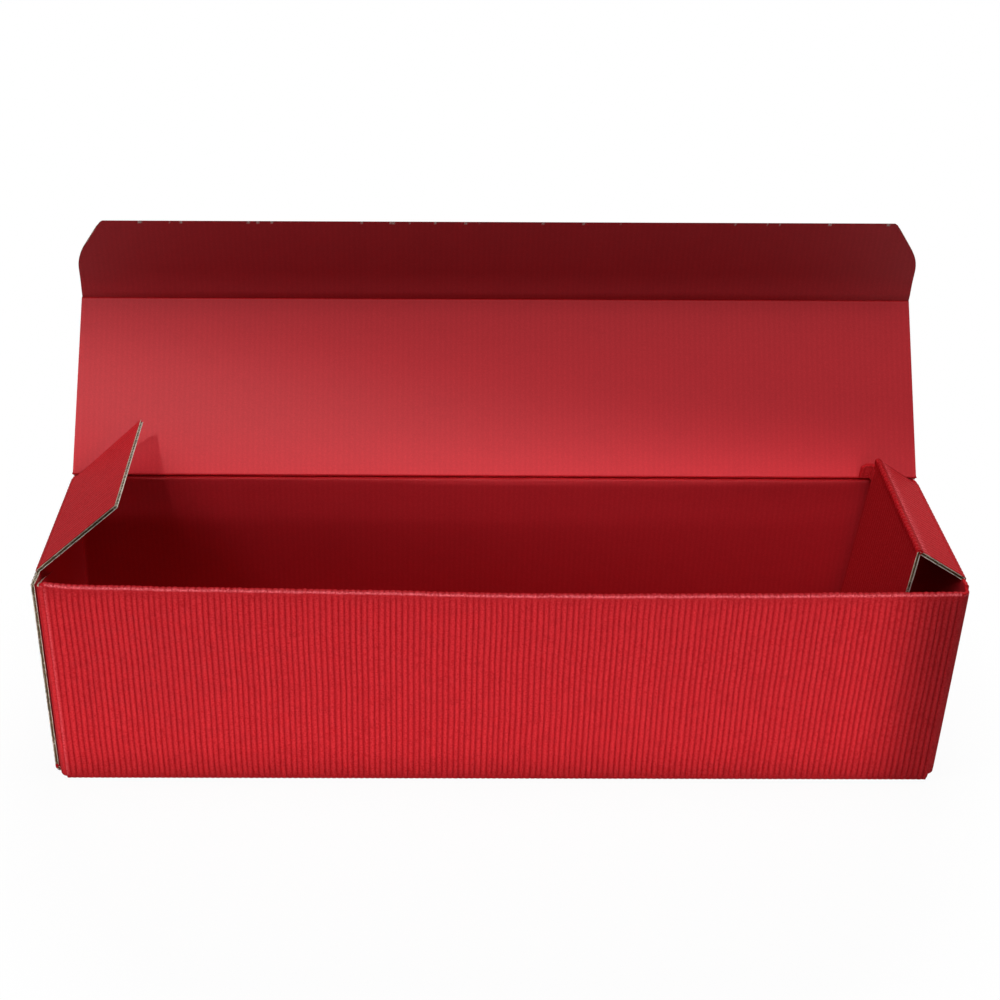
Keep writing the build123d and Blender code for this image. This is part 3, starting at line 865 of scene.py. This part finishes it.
def crease_strip(
    name, axis, across, start, end, from_way, to_way, press, rub_and_highlight, seed, leaning=False,
    painted_shade=0.35, reach=STRIP_REACH,
):
    """Skin of the outer liner over a crease: straight for reach, round the axis from one panel's
    outward side to the other's, and straight again. press is how hard the flutes are pressed, rub
    and dim are as in sheet, and a leaning strip follows the end wall's top."""
    out_a, out_b = outward_of(-from_way, across), outward_of(to_way, across)
    angle = atan2(np.dot(np.cross(out_a, out_b), across), np.dot(out_a, out_b))
    turn = angle * np.linspace(0, 1, 7)[:, None]
    bend = out_a * np.cos(turn) + np.cross(across, out_a) * np.sin(turn)
    normals = np.concatenate([[out_a, out_a], bend, [out_b, out_b]])
    half_way = np.array([[1.0], [0.5]])
    offsets = np.concatenate([
        from_way * reach * half_way, 0 * bend, to_way * STRIP_REACH * half_way[::-1],
    ])
    u = columns(start, end)
    mid = axis + u[None, :, None] * across + (offsets + normals * (HALF + SKIN))[:, None, :]
    if leaning:
        mid[..., 0] += lean(axis[0], mid[..., 1])
    normal = np.broadcast_to(normals[:, None, :], mid.shape)
    wave = flute(u, seed)[None, :]
    # The crests over a crease are darkened as painted shade
    piece = sheet(
        name, mid, normal, wave, (1 - press) * STRIP_TAPER, (FOLD, FOLD, FOLD, FOLD),
        rub_and_highlight=rub_and_highlight * STRIP_TAPER * (0.4 + 0.6 * wave), half=SKIN, painted_shade=painted_shade,
    )
    centre = axis + 0.5 * (start + end) * across
    ends = [tuple((centre + way * BLEND_REACH) * MM) for way in (from_way, to_way)]
    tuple(ends[0])
    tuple(ends[1])
    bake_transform(piece)


def cushion_ear():
    """Ear on the cushion wall's rear edge: a short strip that turns from the wall's end to lie
    along the back wall."""
    middle = EAR_TOP + EAR_HEIGHT / 2
    ear_x = ridge_axis[0] - middle * tan(CUSHION_LEAN)
    ear_y = back_mid - HALF - EAR_GAP - HALF
    tip = ear_x - EAR_LENGTH
    path = plan_path([(tip, ear_y), (ear_x, ear_y), (ear_x, right_back - 2.5)], HALF + EAR_GAP)
    low, high = ridge_axis[2] - EAR_TOP - EAR_HEIGHT, ridge_axis[2] - EAR_TOP

    def foot_line(x, y):
        return low + 0 * x

    def top_line(x, y):
        return high - 1.2 * (1 - fade(x, tip, tip + 1.5))

    def pressed_top(x, y):
        return 0.4 + 0 * x

    def kinds(x, y):
        return np.full(len(x), FOLD)

    def shift(x, y, z):
        return np.stack([(low + EAR_HEIGHT / 2 - z) * -tan(CUSHION_LEAN), 0 * y], -1)

    return wall_sheet(
        "cushion_ear", path, foot_line, top_line, (FOLD, FOLD, kinds, FOLD), pressed_top, 31, shift,
    )


def stand_for(body, pieces):
    """Says that pieces ride on a body and stand for its node."""
    for piece in pieces:
        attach(piece, body)
        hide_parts(body)


def dress():
    """Makes every piece, and says which body each panel rides on and which node it stands for; the
    crease strips ride on no body.
    """
    lid_line, tuck_line = lid_axis * (0, 1, 1), tuck_axis * (0, 1, 1)
    left_line, right_line, ridge_line = [at * (1, 0, 1) for at in (left_axis, right_axis, ridge_axis)]
    stand_for("box_body", [
        front_wall(), end_walls(), glue_flap(), floor_panel(),
        floor_flap("left_floor_flap", -1), floor_flap("right_floor_flap", 1),
    ])
    stand_for("lid", [flap(
        "lid_panel", lid_line, lid_way, X, LID_LEFT, LID_RIGHT, lid_length - HALF - GAP,
        outward_of(lid_way, -X), 0.8, 0.8, (FOLD, ALONG, FOLD, ALONG), 21, outline=lid_outline,
    )])
    stand_for("tuck_flap", [flap(
        "tuck_panel", tuck_line, tuck_way, X, TUCK_LEFT, TUCK_RIGHT + TUCK_SWELL, TUCK_LENGTH,
        outward_of(tuck_way, -X), 0.8, 0.9, (FOLD, ALONG, PINCHED, ALONG), 22, outline=tuck_outline,
        extra=np.linspace(15, TUCK_LENGTH - 0.6, 18), nicks=22, bevel=1.6, curl=TUCK_CURL,
    )])
    stand_for("left_end_flap", [flap(
        "left_flap_panel", left_line, left_way, Y, LEFT_FRONT, left_back, LEFT_WIDTH,
        outward_of(left_way, -Y), 0.7, 0.1, (FOLD, ALONG, ACROSS, ALONG), 23, leaning=True,
        relief=0.45,
    )])
    # Right flap: shade darkens its crests all over as painted shade
    stand_for("right_end_flap", [flap(
        "right_flap_panel", right_line, right_way, Y, FLAP_FRONT, right_back,
        right_width - HALF - GAP, outward_of(right_way, Y), 0.7, 0.6, (FOLD, ALONG, FOLD, ALONG), 24,
        rub_far=0.9, leaning=True, relief=0.35, shade=0.15,
    )])
    # Cushion wall: shade darkens its crests strongly as painted shade
    stand_for("cushion_wall", [flap(
        "cushion_panel", ridge_line, cushion_way, Y, FLAP_FRONT, right_back, CUSHION_LENGTH,
        outward_of(cushion_way, Y), 0.7, 0.1, (FOLD, ALONG, ACROSS, ALONG), 25, relief=0.15,
        shade=0.45,
    ), cushion_ear()])
    crease_strip(
        "lid_crease", lid_line, -X, -LID_RIGHT, -LID_LEFT, -UP, lid_way,
        0.75, 0.3, 40,
    )
    crease_strip(
        "tuck_crease", tuck_line, -X, -TUCK_RIGHT, -TUCK_LEFT, -lid_way, tuck_way,
        0.75, 0.3, 41,
    )
    crease_strip(
        "left_flap_crease", left_line, -Y, -left_back - CREASE_LAP, -LEFT_FRONT, -UP, left_way,
        0.7, 0.1, 42, leaning=True, reach=4.2,
    )
    crease_strip(
        "right_flap_crease", right_line, Y, FLAP_FRONT, right_back + CREASE_LAP, -UP, right_way,
        0.7, 0.1, 43, leaning=True, reach=2.8,
    )
    # Ridge crease: its crests darkened nearly to the valley colour as painted shade
    crease_strip(
        "ridge_crease", ridge_line, Y, FLAP_FRONT, right_back, -right_way, cushion_way,
        0.4, 0.04, 44, painted_shade=0.9,
    )


dress()


# Camera, lamps and a plain white floor


def aim(place, side, top, ahead):
    """World matrix of a camera or lamp at place, from its three unit vectors."""
    turn = Matrix(np.column_stack([side, top, -ahead]).tolist())
    return Matrix.Translation(place) @ turn.to_4x4()


def camera_at(place, pitch, yaw, roll):
    """World matrix from place and angles in degrees: pitch down, yaw to the right, roll
    clockwise."""
    p, w, r = radians(pitch), radians(yaw), radians(roll)
    ahead = np.array([sin(w) * cos(p), cos(w) * cos(p), -sin(p)])
    right = np.array([cos(w), -sin(w), 0.0])
    up = np.cross(right, ahead)
    return aim(place, right * cos(r) + up * sin(r), -right * sin(r) + up * cos(r), ahead)


camera = link("camera", bpy.data.cameras.new("camera"))
camera.matrix_world = camera_at((-0.0311, -0.61679, 0.4903), 30.918, -0.275, 0.125)
camera.data.lens = 61.16
camera.data.sensor_width = 36.0
camera.data.shift_x = 0.08275
camera.data.shift_y = -0.01058
camera.data.clip_start = 0.01
bpy.context.scene.camera = camera


def soft_lamp(name, place, target, size, watts, spread=180.0):
    """Rectangular soft lamp at place, facing target; sizes and places in metres, and the spread
    in degrees."""
    lamp = bpy.data.lights.new(name, "AREA")
    lamp.shape = "RECTANGLE"
    lamp.size, lamp.size_y = size
    lamp.energy = watts
    lamp.spread = radians(spread)
    ahead = unit(np.array(target) - np.array(place))
    side = unit(np.cross(ahead, UP))
    link(name, lamp).matrix_world = aim(place, side, np.cross(side, ahead), ahead)


WHITE = (1, 1, 1, 1)
HIGH_TARGET, HIGH_SIZE = (0.0, 0.04, 0.1), (0.35, 0.35)
soft_lamp("left_softbox", (-0.72, -0.40, 1.20), HIGH_TARGET, HIGH_SIZE, 3.8)
soft_lamp("high_left_softbox", (-0.40, -0.10, 1.40), HIGH_TARGET, HIGH_SIZE, 3.2)
soft_lamp("high_right_softbox", (0.40, -0.10, 1.40), HIGH_TARGET, HIGH_SIZE, 4.6)
soft_lamp("overhead_softbox", (0.0, 0.20, 1.50), HIGH_TARGET, HIGH_SIZE, 4.6)
soft_lamp("lid_softbox", (-0.19, -0.79, 0.96), (0.0, 0.043, 0.107), (0.5, 0.03), 0.024, 5.0)
soft_lamp("low_front_softbox", (-0.05, -0.35, 0.054), (-0.05, 0.0, 0.054), (0.44, 0.1), 0.085, 8.0)
soft_lamp("front_softbox", (-0.045, -0.52, 0.17), (-0.045, -0.045, 0.055), (0.5, 0.14), 0.014, 8.0)
soft_lamp("rear_softbox", (0.4, 1.3, 0.75), (0.0, 0.05, 0.1), (0.8, 0.8), 8.0)

# World: the camera and reflections see white, and the object gets a faint light from all round
world = bpy.data.worlds.new("studio")
bpy.context.scene.world = world
world.use_nodes = True
sky = world.node_tree
sky.nodes.clear()
rays = node(sky, "ShaderNodeLightPath").outputs
seen = rays["Is Camera Ray"]
for kind in ("Is Glossy Ray", "Is Transmission Ray"):
    seen = node(sky, "ShaderNodeMath", {"operation": "MAXIMUM"}, i0=seen, i1=rays[kind])
strength = node(sky, "ShaderNodeMapRange", Value=seen, To_Min=0.02, To_Max=1.0)
glow = node(sky, "ShaderNodeBackground", Color=WHITE, Strength=strength)
node(sky, "ShaderNodeOutputWorld", Surface=glow)


def floor_paint():
    """White table top, matt: it bounces light as white card does. The camera sees it nearly at
    full white beside the object, where its shadow still shows, and at full white further out."""
    made, tree = new_material("white_matt_card")
    matt = node(tree, "ShaderNodeBsdfDiffuse", Color=srgb("#F2F2F2"))
    white = node(tree, "ShaderNodeEmission", Color=WHITE, Strength=1.0)
    place = node(tree, "ShaderNodeTexCoord").outputs["Object"]
    away = node(tree, "ShaderNodeVectorMath", {"operation": "LENGTH"}, i0=place).outputs["Value"]
    share = node(
        tree, "ShaderNodeMapRange", Value=away, From_Min=0.2, From_Max=0.26, To_Min=0.95, To_Max=1.0,
    )
    ray = node(tree, "ShaderNodeLightPath").outputs["Is Camera Ray"]
    cover = node(tree, "ShaderNodeMath", {"operation": "MULTIPLY"}, i0=share, i1=ray)
    both = node(tree, "ShaderNodeMixShader", Fac=cover, i1=matt, i2=white)
    node(tree, "ShaderNodeOutputMaterial", Surface=both)
    return made


floor_mesh = bpy.data.meshes.new("studio_floor")
floor_corners = [(-0.5, -0.3, 0), (0.5, -0.3, 0), (0.5, 0.45, 0), (-0.5, 0.45, 0)]
floor_mesh.from_pydata(floor_corners, [], [(0, 1, 2, 3)])
floor_mesh.materials.append(floor_paint())
studio_floor = link("studio_floor", floor_mesh)

bpy.context.scene.view_settings.view_transform = "Standard"
